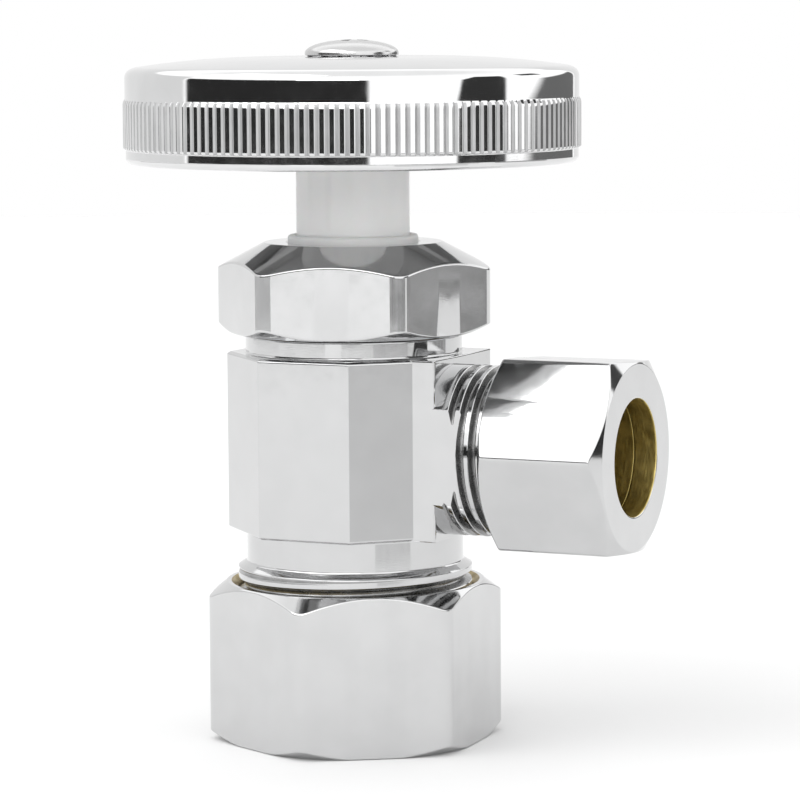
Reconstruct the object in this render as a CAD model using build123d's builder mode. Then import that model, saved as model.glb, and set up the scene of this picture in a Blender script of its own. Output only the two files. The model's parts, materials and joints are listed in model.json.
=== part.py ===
from build123d import *
from dataclasses import dataclass
import math
import os

# Multi-turn angle stop valve: 5/8 in tube compression inlet by 3/8 in tube compression outlet.
# Millimetres. The origin is the centre of the inlet nut's open mouth, +Z runs up the stem to the handle,
# and +X runs out through the outlet. The valve is modelled fully open, with all three nuts tight.

os.makedirs("parts", exist_ok=True)

INCH = 25.4
GAP = 0.06                                  # clearance between pieces that move against each other
BEYOND = 1.0                                # how far a cutting outline runs past the stock

# ---- driving dimensions -----------------------------------------------------------------------------
tube_clearance = 0.09                       # radial, all round a tube in its bore

body_across_flats = 25 / 32 * INCH          # octagonal body
body_bottom = 17.8
body_top = 32.85
body_edge_run = 0.45                        # turned chamfer on the octagon's ends
body_edge_rise = 0.25
outlet_face_x = 10.04                       # flat pad on the octagon that carries the outlet
outlet_pad_half_width = 5.95
outlet_axis_z = 24.9
outlet_end_x = 25.45                        # mouth of the outlet nut
tube_stop_z = 17.0                          # the inlet tube bottoms here
tube_stop_x = 12.5                          # the outlet tube bottoms here

neck_r = 9.2                                # plain neck between the inlet thread and the body
neck_bottom = 14.75
shoulder_r = 9.15                           # plain collar under the bonnet nut
shoulder_top = 34.3
outlet_flats_end_x = 12.4                   # the boss keeps the pad's two side faces up to here
outlet_thread_end_x = 10.7

bonnet_across_flats = 13 / 16 * INCH
bonnet_bottom = 34.5
bonnet_top = 42.1
bonnet_turn = 14.5                          # degrees from +X to the nut's first corner
bonnet_corner_radius = 1.8
bonnet_face_r = 7.5                         # flat ring on top of the nut
bonnet_thread_r = 8.9
bonnet_pitch = INCH / 20

stem_r = 3 / 16 * INCH
stem_thread_r = 5.5
stem_pitch = INCH / 20
turns_to_close = 3
lift = turns_to_close * stem_pitch          # travel of the seat washer from open to closed

seat_top = 22.3                             # raised seat lip inside the body
orifice_r = 3.5
throat_r = 5.6                              # wide bore between the tube stop and the orifice
throat_bevel_bottom = 18.4
throat_bevel_top = 19.8
chamber_floor = 21.2
chamber_top = 28.6
chamber_r = 6.6
waterway_r = 3.2                            # outlet port

packing_r = 7.0                             # pocket in the body's neck for the packing
packing_floor = 35.0
packing_washer_top = 35.7
body_neck_top = 38.2
friction_ring_top = 38.8
gland_flange_top = 40.0
gland_top = 42.7
gland_collar_r = 5.5

handle_r = 19.2                             # over the knurl
handle_bottom = 48.75
handle_top = 57.6
handle_flat_r = 7.0                         # flat middle of the crowned top
handle_crown = (13.0, 57.32)                # radius and height half-way across the crown
handle_edge = (18.0, 56.8)                  # where the crown meets the rounded rim
handle_rim = (18.74, 56.49)                 # half-way round the rim
handle_band_r = 19.02                       # smooth bands above and below the knurl
handle_band_top = 55.9
handle_skirt_r = 18.97
handle_skirt_bottom = 49.25
handle_lip = (18.82, 48.9)                  # half-way round the lower lip
handle_lip_r = 18.47                        # flat lower edge
handle_inner_r = 17.6
handle_ceiling = 55.7
knurl_bottom = 50.0
knurl_top = 54.05
knurl_count = 150
knurl_depth = 0.22

screw_r = 2.08                              # No. 8 handle screw
screw_head_r = 3.93
screw_head_top = 59.0
washer_seat_z = 57.25                       # shallow recess for the lock washer
lock_washer_top = 57.7


@dataclass
class CompressionEnd:
    """One compression end. Lengths along its axis are measured inward from the mouth of its nut."""
    name: str
    frame: Plane                            # origin at the nut's mouth, Z pointing into the valve
    tube_od: float
    nut_across_flats: float
    nut_length: float
    nut_floor: float                        # thickness of the nut's end wall
    nut_mouth_r: float                      # flat ring at the nut's outer end
    nut_face_r: float                       # flat ring at the nut's inner end
    nut_inner_slope: float                  # chamfer at the inner end, degrees
    nut_corner_radius: float
    nut_turn: float                         # degrees from the frame's X axis to the nut's first flat
    thread_r: float
    pitch: float
    sleeve_wall: float
    sleeve_length: float
    taper: float                            # radial drop of the sleeve's tapered ends

    @property
    def bore_r(self):
        return self.tube_od / 2 + tube_clearance

    @property
    def sleeve_r(self):
        return self.bore_r + self.sleeve_wall

    @property
    def sleeve_start(self):
        return self.nut_floor + GAP

    @property
    def sleeve_end(self):
        return self.sleeve_start + self.sleeve_length

    @property
    def mouth(self):
        """Where the body's end begins: the sleeve's tapered end reaches past it."""
        return self.sleeve_end - 1.15

    def seat_r(self, along):
        """Radius of the body's conical sleeve seat at a distance along the axis."""
        return self.sleeve_r - self.taper + GAP + (self.sleeve_end - along) * SEAT_SLOPE

    @property
    def seat_end(self):
        return self.sleeve_end + (self.sleeve_wall - self.taper + GAP) / SEAT_SLOPE


SEAT_SLOPE = math.tan(math.radians(30))

inlet = CompressionEnd(
    name="inlet", frame=Plane(origin=(0, 0, 0), x_dir=(1, 0, 0), z_dir=(0, 0, 1)),
    tube_od=5 / 8 * INCH, nut_across_flats=22.0, nut_length=13.45, nut_floor=2.2,
    nut_mouth_r=11.1, nut_face_r=10.9, nut_inner_slope=37, nut_corner_radius=1.3,
    nut_turn=3.0, thread_r=25 / 64 * INCH, pitch=INCH / 18, sleeve_wall=0.85, sleeve_length=6.0, taper=0.55)
outlet = CompressionEnd(
    name="outlet", frame=Plane(origin=(outlet_end_x, 0, outlet_axis_z), x_dir=(0, 0, 1), z_dir=(-1, 0, 0)),
    tube_od=3 / 8 * INCH, nut_across_flats=15.7, nut_length=10.9, nut_floor=2.0,
    nut_mouth_r=7.7, nut_face_r=7.7, nut_inner_slope=30, nut_corner_radius=0.5,
    nut_turn=3.5, thread_r=9 / 32 * INCH, pitch=INCH / 24, sleeve_wall=0.70, sleeve_length=4.9, taper=0.45)

# ---- helpers ----------------------------------------------------------------------------------------


def section_plane(frame):
    """The half-plane through a turned piece's axis: local X is the radius, local Y runs along the axis."""
    return Plane(origin=frame.origin, x_dir=frame.x_dir, z_dir=frame.x_dir.cross(frame.z_dir))


def turned_axis(frame):
    """The axis that a turned piece's half section is revolved about."""
    return Axis(frame.origin, frame.z_dir)


def thread_groove(frame, crest_r, depth, pitch, start, end):
    """One helical vee groove, to be cut from a plain cylinder of radius crest_r between two heights."""
    overlap = 0.1
    mouth = pitch * 0.44 * (depth + overlap) / depth
    root_flat = pitch * 0.06
    helix_base = frame.offset(start).origin
    with BuildPart(mode=Mode.PRIVATE) as groove:
        with BuildLine():
            Helix(pitch=pitch, height=end - start, radius=crest_r + overlap,
                  center=helix_base, direction=frame.z_dir)
        path = groove.pending_edges[0]
        radial = (path @ 0 - helix_base).normalized()
        with BuildSketch(Plane(origin=path @ 0, x_dir=radial, z_dir=path % 0)):
            with BuildLine():
                Polyline((0, -mouth), (-depth - overlap, -root_flat), (-depth - overlap, root_flat),
                         (0, mouth), close=True)
            make_face()
        sweep(is_frenet=True)
    return groove.part


def toothed_outline(count, tip_r, root_r, tip_share):
    """Corner points of a closed ring of straight-flanked teeth, going once round."""
    step = 2 * math.pi / count
    half_tip = step * tip_share / 2
    half_root = step * (1 - tip_share) / 2 * 0.5
    points = []
    for tooth in range(count):
        middle = tooth * step
        gap = middle + step / 2
        for radius, angle in ((tip_r, middle - half_tip), (tip_r, middle + half_tip),
                              (root_r, gap - half_root), (root_r, gap + half_root)):
            points.append((radius * math.cos(angle), radius * math.sin(angle)))
    return points


# ---- valve body -------------------------------------------------------------------------------------
stem_frame = inlet.frame
stem_section = section_plane(stem_frame)
outlet_section = section_plane(outlet.frame)
body_corner_r = body_across_flats / 2 / math.cos(math.pi / 8)
bore_for_stem = stem_thread_r + 0.1
boss_base = outlet_end_x - outlet_face_x + BEYOND
port_end = outlet_end_x - chamber_r + 1.2   # the outlet port runs a little way into the chamber

with BuildPart() as valve_body:
    with BuildSketch(Plane.XY.offset(body_bottom)):
        RegularPolygon(body_across_flats / 2, 8, major_radius=False, rotation=22.5)
    extrude(amount=body_top - body_bottom)
    # turned chamfers on the octagon's ends
    with BuildSketch(stem_section):
        with BuildLine():
            Polyline((0, body_bottom), (body_corner_r - body_edge_run, body_bottom),
                     (body_corner_r, body_bottom + body_edge_rise),
                     (body_corner_r, body_top - body_edge_rise),
                     (body_corner_r - body_edge_run, body_top), (0, body_top), close=True)
        make_face()
    revolve(axis=Axis.Z, mode=Mode.INTERSECT)
    # pad for the outlet
    with BuildSketch(Plane.XY.offset(body_bottom)):
        Rectangle(outlet_face_x, 2 * outlet_pad_half_width, align=(Align.MIN, Align.CENTER))
    extrude(amount=body_top - body_bottom)
    # inlet neck, then the collar and threaded neck that the bonnet nut screws on
    with BuildSketch(stem_section):
        with BuildLine():
            Polyline((0, inlet.mouth), (inlet.thread_r - 0.6, inlet.mouth),
                     (inlet.thread_r, inlet.mouth + 0.6), (inlet.thread_r, neck_bottom),
                     (neck_r, neck_bottom + 0.3), (neck_r, body_bottom + BEYOND),
                     (0, body_bottom + BEYOND), close=True)
            Polyline((0, body_top - BEYOND), (shoulder_r, body_top - BEYOND), (shoulder_r, shoulder_top),
                     (bonnet_thread_r, shoulder_top + 0.1), (bonnet_thread_r, body_neck_top - 0.5),
                     (bonnet_thread_r - 0.5, body_neck_top), (0, body_neck_top), close=True)
        make_face()
    revolve(axis=Axis.Z)
    # outlet boss, with two flats at its root that carry on the pad's side faces
    with BuildSketch(outlet_section):
        with BuildLine():
            Polyline((0, outlet.mouth), (outlet.thread_r - 0.5, outlet.mouth),
                     (outlet.thread_r, outlet.mouth + 0.5), (outlet.thread_r, boss_base),
                     (0, boss_base), close=True)
        make_face()
    revolve(axis=turned_axis(outlet.frame))
    boss_root_x = outlet_end_x - boss_base
    with BuildSketch(Plane.XY.offset(body_bottom)):
        for side in (-1, 1):
            with Locations(((boss_root_x + outlet_flats_end_x) / 2,
                            side * (outlet_pad_half_width + outlet.thread_r) / 2)):
                Rectangle(outlet_flats_end_x - boss_root_x, outlet.thread_r - outlet_pad_half_width)
    extrude(amount=body_top - body_bottom, mode=Mode.SUBTRACT)
    # bore along the stem: tube socket, seat orifice, chamber, stem thread and packing pocket
    with BuildSketch(stem_section):
        with BuildLine():
            Polyline((0, inlet.mouth - BEYOND), (inlet.seat_r(inlet.mouth - BEYOND), inlet.mouth - BEYOND),
                     (inlet.bore_r, inlet.seat_end), (inlet.bore_r, tube_stop_z),
                     (throat_r, tube_stop_z), (throat_r, throat_bevel_bottom),
                     (orifice_r, throat_bevel_top), (orifice_r, seat_top),
                     (orifice_r + 0.8, seat_top), (orifice_r + 1.2, chamber_floor),
                     (chamber_r, chamber_floor), (chamber_r, chamber_top),
                     (bore_for_stem, chamber_top), (bore_for_stem, packing_floor),
                     (packing_r, packing_floor), (packing_r, body_neck_top + BEYOND),
                     (0, body_neck_top + BEYOND), close=True)
        make_face()
    revolve(axis=Axis.Z, mode=Mode.SUBTRACT)
    # bore along the outlet: sleeve seat, tube socket and port into the chamber
    with BuildSketch(outlet_section):
        with BuildLine():
            Polyline((0, outlet.mouth - BEYOND),
                     (outlet.seat_r(outlet.mouth - BEYOND), outlet.mouth - BEYOND),
                     (outlet.bore_r, outlet.seat_end), (outlet.bore_r, outlet_end_x - tube_stop_x),
                     (waterway_r, outlet_end_x - tube_stop_x), (waterway_r, port_end), (0, port_end),
                     close=True)
        make_face()
    revolve(axis=turned_axis(outlet.frame), mode=Mode.SUBTRACT)
    add(thread_groove(inlet.frame, inlet.thread_r, 0.6, inlet.pitch,
                      inlet.mouth - 1.25 * inlet.pitch, neck_bottom - 0.3), mode=Mode.SUBTRACT)
    add(thread_groove(outlet.frame, outlet.thread_r, 0.6, outlet.pitch,
                      outlet.mouth - 1.25 * outlet.pitch, outlet_end_x - outlet_thread_end_x),
        mode=Mode.SUBTRACT)
    add(thread_groove(stem_frame, bonnet_thread_r, 0.6, bonnet_pitch,
                      shoulder_top + 0.7, body_neck_top + bonnet_pitch), mode=Mode.SUBTRACT)
valve_body.part.label = "valve_body"
export_step(valve_body.part, "parts/valve_body.step")

# ---- bonnet nut and the packing set -----------------------------------------------------------------
bonnet_corner_r = bonnet_across_flats / math.sqrt(3)
bonnet_top_drop = (bonnet_corner_r - bonnet_face_r) * math.tan(math.radians(28))
bonnet_bottom_rise = (bonnet_corner_r - bonnet_across_flats / 2) * math.tan(math.radians(30))
gasket_top = body_neck_top + 0.45

with BuildPart() as bonnet_nut:
    with BuildSketch(Plane.XY.offset(bonnet_bottom)) as bonnet_hexagon:
        RegularPolygon(bonnet_corner_r, 6, rotation=bonnet_turn)
        fillet(bonnet_hexagon.vertices(), radius=bonnet_corner_radius)
    extrude(amount=bonnet_top - bonnet_bottom)
    with BuildSketch(stem_section):
        with BuildLine():
            Polyline((0, bonnet_bottom), (bonnet_across_flats / 2, bonnet_bottom),
                     (bonnet_corner_r, bonnet_bottom + bonnet_bottom_rise),
                     (bonnet_corner_r, bonnet_top - bonnet_top_drop),
                     (bonnet_face_r, bonnet_top), (0, bonnet_top), close=True)
        make_face()
    revolve(axis=Axis.Z, mode=Mode.INTERSECT)
    with BuildSketch(stem_section):
        with BuildLine():
            Polyline((0, bonnet_bottom - BEYOND), (bonnet_thread_r + GAP, bonnet_bottom - BEYOND),
                     (bonnet_thread_r + GAP, gasket_top), (packing_r, gasket_top),
                     (packing_r, gland_flange_top + GAP), (gland_collar_r + 0.1, gland_flange_top + GAP),
                     (gland_collar_r + 0.1, bonnet_top + BEYOND), (0, bonnet_top + BEYOND), close=True)
        make_face()
    revolve(axis=Axis.Z, mode=Mode.SUBTRACT)
bonnet_nut.part.label = "bonnet_nut"
export_step(bonnet_nut.part, "parts/bonnet_nut.step")

# plain turned rings: outer radius, inner radius, bottom and top
seal_r = stem_r + 0.09
rings = {
    "bonnet_gasket": (bonnet_thread_r - 0.55, packing_r + 0.1, body_neck_top, gasket_top),
    "packing_washer": (packing_r - 0.1, stem_r + 0.12, packing_floor, packing_washer_top),
    "stem_packing": (packing_r - 0.05, seal_r, packing_washer_top, body_neck_top),
    "friction_ring": (packing_r - 0.05, seal_r, body_neck_top, friction_ring_top),
}
for ring_name, (ring_outer_r, ring_inner_r, ring_bottom, ring_top) in rings.items():
    with BuildPart() as ring:
        with BuildSketch(Plane.XY.offset(ring_bottom)):
            Circle(ring_outer_r)
            Circle(ring_inner_r, mode=Mode.SUBTRACT)
        extrude(amount=ring_top - ring_bottom)
    ring.part.label = ring_name
    export_step(ring.part, f"parts/{ring_name}.step")

with BuildPart() as gland_follower:
    with BuildSketch(stem_section):
        with BuildLine():
            Polyline((seal_r, friction_ring_top), (packing_r - 0.05, friction_ring_top),
                     (packing_r - 0.05, gland_flange_top), (gland_collar_r, gland_flange_top),
                     (gland_collar_r, gland_top - 0.3), (gland_collar_r - 0.3, gland_top),
                     (seal_r, gland_top), close=True)
        make_face()
    revolve(axis=Axis.Z)
gland_follower.part.label = "gland_follower"
export_step(gland_follower.part, "parts/gland_follower.step")

# ---- seat washer and its swivelling holder ----------------------------------------------------------
washer_bottom = seat_top + lift + 0.05
washer_top = washer_bottom + 2.4
retainer_top = washer_top + 0.75
spigot_top = retainer_top + 3.2
spigot_r = 2.25
clip_bottom = retainer_top + 1.95
clip_thickness = 0.45
washer_screw_r = 1.25

with BuildPart() as washer_retainer:
    with BuildSketch(stem_section):
        with BuildLine():
            Polyline((washer_screw_r + 0.03, washer_top), (4.3, washer_top), (4.3, washer_top - 1.15),
                     (4.6, washer_top - 1.15), (4.6, retainer_top), (spigot_r, retainer_top),
                     (spigot_r, clip_bottom - 0.05), (spigot_r - 0.35, clip_bottom - 0.05),
                     (spigot_r - 0.35, clip_bottom + clip_thickness + 0.05),
                     (spigot_r, clip_bottom + clip_thickness + 0.05), (spigot_r, spigot_top - 0.3),
                     (spigot_r - 0.3, spigot_top), (washer_screw_r + 0.03, spigot_top), close=True)
        make_face()
    revolve(axis=Axis.Z)
washer_retainer.part.label = "washer_retainer"
export_step(washer_retainer.part, "parts/washer_retainer.step")

with BuildPart() as retainer_clip:
    with BuildSketch(Plane.XY.offset(clip_bottom)):
        Circle(spigot_r + 0.4)
        Circle(spigot_r - 0.28, mode=Mode.SUBTRACT)
        with Locations((spigot_r, 0)):
            Rectangle(1.6, 1.4, mode=Mode.SUBTRACT)
    extrude(amount=clip_thickness)
retainer_clip.part.label = "retainer_clip"
export_step(retainer_clip.part, "parts/retainer_clip.step")

with BuildPart() as seat_washer:
    with BuildSketch(stem_section):
        with BuildLine():
            Polyline((washer_screw_r + 0.05, washer_bottom), (4.0, washer_bottom),
                     (4.25, washer_bottom + 0.25), (4.25, washer_top), (washer_screw_r + 0.05, washer_top),
                     close=True)
        make_face()
    revolve(axis=Axis.Z)
seat_washer.part.label = "seat_washer"
export_step(seat_washer.part, "parts/seat_washer.step")

with BuildPart() as washer_screw:
    with BuildSketch(stem_section):
        with BuildLine():
            Polyline((0, washer_bottom - 1.0), (1.9, washer_bottom - 1.0), (2.2, washer_bottom - 0.7),
                     (2.2, washer_bottom), (washer_screw_r, washer_bottom),
                     (washer_screw_r, spigot_top - 0.5), (0, spigot_top - 0.5), close=True)
        make_face()
    revolve(axis=Axis.Z)
    with BuildSketch(Plane.XY.offset(washer_bottom - 1.0)):
        Rectangle(6, 0.7)
    extrude(amount=0.5, mode=Mode.SUBTRACT)
washer_screw.part.label = "washer_screw"
export_step(washer_screw.part, "parts/washer_screw.step")

# ---- stem -------------------------------------------------------------------------------------------
stem_bottom = retainer_top + GAP
thread_top = packing_floor - 0.1            # the thread's shoulder stops under the packing washer
stem_shoulder = 50.9                        # the handle's hub bears down on this
stem_top = 55.6
spline_count = 16
spline_tip_r = 4.3
spline_root_r = 3.8
screw_hole_bottom = 45.2
screw_tip = 46.0
socket_r = spigot_r + 0.08
clip_groove_r = spigot_r + 0.5
clip_groove_bottom = clip_bottom - 0.1
clip_groove_top = clip_bottom + clip_thickness + 0.1

with BuildPart() as stem:
    with BuildSketch(stem_section):
        with BuildLine():
            Polyline((0, stem_bottom), (stem_thread_r - 0.5, stem_bottom),
                     (stem_thread_r, stem_bottom + 0.5), (stem_thread_r, thread_top - 0.3),
                     (stem_thread_r - 0.3, thread_top), (stem_r, thread_top), (stem_r, stem_shoulder - 0.2),
                     (stem_r - 0.2, stem_shoulder), (0, stem_shoulder), close=True)
        make_face()
    revolve(axis=Axis.Z)
    with BuildSketch(Plane.XY.offset(stem_shoulder)):
        with BuildLine():
            Polyline(*toothed_outline(spline_count, spline_tip_r, spline_root_r, 0.4), close=True)
        make_face()
    extrude(amount=stem_top - stem_shoulder)
    # socket in the lower end for the swivelling retainer and its snap ring
    with BuildSketch(stem_section):
        with BuildLine():
            Polyline((0, stem_bottom - BEYOND), (socket_r, stem_bottom - BEYOND),
                     (socket_r, clip_groove_bottom), (clip_groove_r, clip_groove_bottom),
                     (clip_groove_r, clip_groove_top), (socket_r, clip_groove_top),
                     (socket_r, spigot_top + 0.1), (0, spigot_top + 0.7), close=True)
        make_face()
    revolve(axis=Axis.Z, mode=Mode.SUBTRACT)
    # threaded hole for the handle screw
    with BuildSketch(Plane.XY.offset(screw_hole_bottom)):
        Circle(screw_r + 0.05)
    extrude(amount=stem_top - screw_hole_bottom + BEYOND, mode=Mode.SUBTRACT)
    add(thread_groove(stem_frame, stem_thread_r, 0.55, stem_pitch,
                      stem_bottom - stem_pitch, thread_top - 1.0), mode=Mode.SUBTRACT)
stem.part.label = "stem"
export_step(stem.part, "parts/stem.step")

# ---- handle -----------------------------------------------------------------------------------------
hub_plate_bottom = 54.2
hub_plate_r = handle_inner_r - 0.8
hub_boss_r = 6.8
hub_boss_bottom = 50.2
hub_rib_bottom = 51.4
hub_rib_count = 6
hub_rib_width = 1.6

with BuildPart() as handle_shell:
    with BuildSketch(stem_section) as shell_section:
        with BuildLine():
            Line((screw_r + 0.12, handle_ceiling), (screw_r + 0.12, washer_seat_z))
            Line((screw_r + 0.12, washer_seat_z), (screw_head_r - 0.1, washer_seat_z))
            Line((screw_head_r - 0.1, washer_seat_z), (screw_head_r - 0.1, handle_top))
            Line((screw_head_r - 0.1, handle_top), (handle_flat_r, handle_top))
            ThreePointArc((handle_flat_r, handle_top), handle_crown, handle_edge)
            ThreePointArc(handle_edge, handle_rim, (handle_band_r, handle_band_top))
            Polyline((handle_band_r, handle_band_top), (handle_band_r, knurl_top + 0.1),
                     (handle_r - knurl_depth, knurl_top), (handle_r - knurl_depth, knurl_bottom),
                     (handle_skirt_r, knurl_bottom - 0.1), (handle_skirt_r, handle_skirt_bottom))
            ThreePointArc((handle_skirt_r, handle_skirt_bottom), handle_lip, (handle_lip_r, handle_bottom))
            Line((handle_lip_r, handle_bottom), (handle_inner_r + 0.1, handle_bottom))
            Line((handle_inner_r + 0.1, handle_bottom), (handle_inner_r, handle_bottom + 0.1))
            Line((handle_inner_r, handle_bottom + 0.1), (handle_inner_r, handle_ceiling - 0.7))
            ThreePointArc((handle_inner_r, handle_ceiling - 0.7),
                          (handle_inner_r - 0.2, handle_ceiling - 0.2),
                          (handle_inner_r - 0.7, handle_ceiling))
            Line((handle_inner_r - 0.7, handle_ceiling), (screw_r + 0.12, handle_ceiling))
        make_face()
    revolve(axis=Axis.Z)
    with BuildSketch(Plane.XY.offset(knurl_bottom)):
        with BuildLine():
            Polyline(*toothed_outline(knurl_count, handle_r, handle_r - knurl_depth, 0.3), close=True)
        make_face()
        Circle(handle_inner_r + 0.5, mode=Mode.SUBTRACT)
    extrude(amount=knurl_top - knurl_bottom)
handle_shell.part.label = "handle_shell"
export_step(handle_shell.part, "parts/handle_shell.step")

with BuildPart() as handle_hub:
    with BuildSketch(Plane.XY.offset(hub_plate_bottom)):
        Circle(hub_plate_r)
    extrude(amount=handle_ceiling - hub_plate_bottom)
    with BuildSketch(Plane.XY.offset(hub_boss_bottom)):
        Circle(hub_boss_r)
    extrude(amount=hub_plate_bottom - hub_boss_bottom)
    with BuildSketch(Plane.XY.offset(hub_rib_bottom)):
        with PolarLocations((hub_boss_r + hub_plate_r) / 2, hub_rib_count):
            Rectangle(hub_plate_r - hub_boss_r + 1.0, hub_rib_width)
        Circle(hub_plate_r, mode=Mode.INTERSECT)
    extrude(amount=hub_plate_bottom - hub_rib_bottom)
    # splined bore, relieved below the stem's shoulder
    with BuildSketch(Plane.XY.offset(hub_boss_bottom)):
        with BuildLine():
            Polyline(*toothed_outline(spline_count, spline_tip_r + 0.03, spline_root_r + 0.03, 0.42),
                     close=True)
        make_face()
    extrude(amount=handle_ceiling - hub_boss_bottom, mode=Mode.SUBTRACT)
    with BuildSketch(Plane.XY.offset(hub_boss_bottom)):
        Circle(stem_r + 0.03)
    extrude(amount=stem_shoulder - hub_boss_bottom, mode=Mode.SUBTRACT)
handle_hub.part.label = "handle_hub"
export_step(handle_hub.part, "parts/handle_hub.step")

with BuildPart() as lock_washer:
    with BuildSketch(Plane.XY.offset(washer_seat_z)):
        with BuildLine():
            Polyline(*toothed_outline(12, screw_head_r - 0.2, screw_head_r - 0.75, 0.55), close=True)
        make_face()
        Circle(screw_r + 0.1, mode=Mode.SUBTRACT)
    extrude(amount=lock_washer_top - washer_seat_z)
lock_washer.part.label = "lock_washer"
export_step(lock_washer.part, "parts/lock_washer.step")

dome_base = lock_washer_top + 0.2

with BuildPart() as handle_screw:
    with BuildSketch(stem_section):
        with BuildLine():
            Line((0, screw_tip), (screw_r - 0.4, screw_tip))
            Line((screw_r - 0.4, screw_tip), (screw_r, screw_tip + 0.4))
            Line((screw_r, screw_tip + 0.4), (screw_r, lock_washer_top))
            Line((screw_r, lock_washer_top), (screw_head_r, lock_washer_top))
            Line((screw_head_r, lock_washer_top), (screw_head_r, dome_base))
            EllipticalCenterArc((0, dome_base), screw_head_r, screw_head_top - dome_base, arc_size=90)
            Line((0, screw_head_top), (0, screw_tip))
        make_face()
    revolve(axis=Axis.Z)
    # cross recess
    with BuildSketch(Plane.XY.offset(screw_head_top)):
        Rectangle(3.6, 0.75)
        Rectangle(0.75, 3.6)
    extrude(amount=-1.1, mode=Mode.SUBTRACT)
handle_screw.part.label = "handle_screw"
export_step(handle_screw.part, "parts/handle_screw.step")

# ---- compression nuts and ferrules, inlet then outlet -----------------------------------------------
for end in (inlet, outlet):
    section = section_plane(end.frame)
    corner_r = end.nut_across_flats / math.sqrt(3)
    mouth_rise = (corner_r - end.nut_mouth_r) * math.tan(math.radians(30))
    inner_drop = (corner_r - end.nut_face_r) * math.tan(math.radians(end.nut_inner_slope))
    with BuildPart() as nut:
        with BuildSketch(end.frame) as nut_hexagon:
            RegularPolygon(corner_r, 6, rotation=30 + end.nut_turn)
            fillet(nut_hexagon.vertices(), radius=end.nut_corner_radius)
        extrude(amount=end.nut_length)
        with BuildSketch(section):
            with BuildLine():
                Polyline((0, 0), (end.nut_mouth_r, 0), (corner_r, mouth_rise),
                         (corner_r, end.nut_length - inner_drop), (end.nut_face_r, end.nut_length),
                         (0, end.nut_length), close=True)
            make_face()
        revolve(axis=turned_axis(end.frame), mode=Mode.INTERSECT)
        # tube bore, sleeve seat, relief round the sleeve, and thread bore with its countersink
        relief_r = end.sleeve_r + 0.3
        nut_bore_r = end.thread_r + GAP
        countersink = 0.6 * (end.nut_face_r - nut_bore_r)
        seat_start_r = end.sleeve_r - end.taper + GAP
        seat_top_s = end.nut_floor + (relief_r - seat_start_r) / SEAT_SLOPE
        with BuildSketch(section):
            with BuildLine():
                Polyline((0, -BEYOND), (end.bore_r, -BEYOND), (end.bore_r, end.nut_floor),
                         (seat_start_r, end.nut_floor), (relief_r, seat_top_s),
                         (relief_r, end.mouth - 1.6), (nut_bore_r, end.mouth - 0.9),
                         (nut_bore_r, end.nut_length - countersink),
                         (nut_bore_r + countersink, end.nut_length),
                         (nut_bore_r + countersink, end.nut_length + BEYOND),
                         (0, end.nut_length + BEYOND), close=True)
            make_face()
        revolve(axis=turned_axis(end.frame), mode=Mode.SUBTRACT)
    nut.part.label = f"{end.name}_nut"
    export_step(nut.part, f"parts/{end.name}_nut.step")

    taper_run = end.taper / SEAT_SLOPE
    with BuildPart() as ferrule:
        with BuildSketch(section):
            with BuildLine():
                Polyline((end.bore_r, end.sleeve_start), (end.sleeve_r - end.taper, end.sleeve_start),
                         (end.sleeve_r, end.sleeve_start + taper_run),
                         (end.sleeve_r, end.sleeve_end - taper_run),
                         (end.sleeve_r - end.taper, end.sleeve_end), (end.bore_r, end.sleeve_end),
                         close=True)
            make_face()
        revolve(axis=turned_axis(end.frame))
    ferrule.part.label = f"{end.name}_ferrule"
    export_step(ferrule.part, f"parts/{end.name}_ferrule.step")
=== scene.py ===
import json
import math

import bmesh
import bpy
from mathutils import Matrix, Vector


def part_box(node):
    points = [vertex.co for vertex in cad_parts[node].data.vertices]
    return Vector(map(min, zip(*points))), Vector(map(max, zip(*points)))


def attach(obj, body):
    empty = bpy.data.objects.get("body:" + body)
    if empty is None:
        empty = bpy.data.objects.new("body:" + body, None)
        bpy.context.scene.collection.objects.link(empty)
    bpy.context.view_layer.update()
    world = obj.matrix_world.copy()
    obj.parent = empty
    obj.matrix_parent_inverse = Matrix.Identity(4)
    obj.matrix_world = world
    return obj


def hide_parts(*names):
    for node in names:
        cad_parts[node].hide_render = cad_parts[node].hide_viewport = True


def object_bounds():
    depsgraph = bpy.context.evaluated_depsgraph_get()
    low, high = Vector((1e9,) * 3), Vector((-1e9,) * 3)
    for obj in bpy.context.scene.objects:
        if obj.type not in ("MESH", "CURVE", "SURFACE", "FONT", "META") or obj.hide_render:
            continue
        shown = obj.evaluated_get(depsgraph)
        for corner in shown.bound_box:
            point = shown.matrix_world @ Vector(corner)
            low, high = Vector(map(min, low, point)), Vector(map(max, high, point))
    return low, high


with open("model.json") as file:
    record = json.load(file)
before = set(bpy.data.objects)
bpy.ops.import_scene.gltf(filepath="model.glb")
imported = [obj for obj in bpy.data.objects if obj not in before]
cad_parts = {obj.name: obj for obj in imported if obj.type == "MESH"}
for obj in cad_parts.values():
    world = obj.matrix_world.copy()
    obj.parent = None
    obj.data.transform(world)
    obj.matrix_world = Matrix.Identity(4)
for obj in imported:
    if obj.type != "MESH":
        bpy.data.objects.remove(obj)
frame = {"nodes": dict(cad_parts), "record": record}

# Looks for the angle stop valve. Lengths are millimetres in the CAD model's frame unless they say otherwise.
cad_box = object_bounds()
MM = 0.001
TAU = 2 * math.pi
INCH = 25.4


def node_box(name):
    """Lowest and highest corner of a CAD node, in millimetres."""
    low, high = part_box(name)
    return low / MM, high / MM


def node_bottom(name):
    return node_box(name)[0].z


def node_top(name):
    return node_box(name)[1].z


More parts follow.
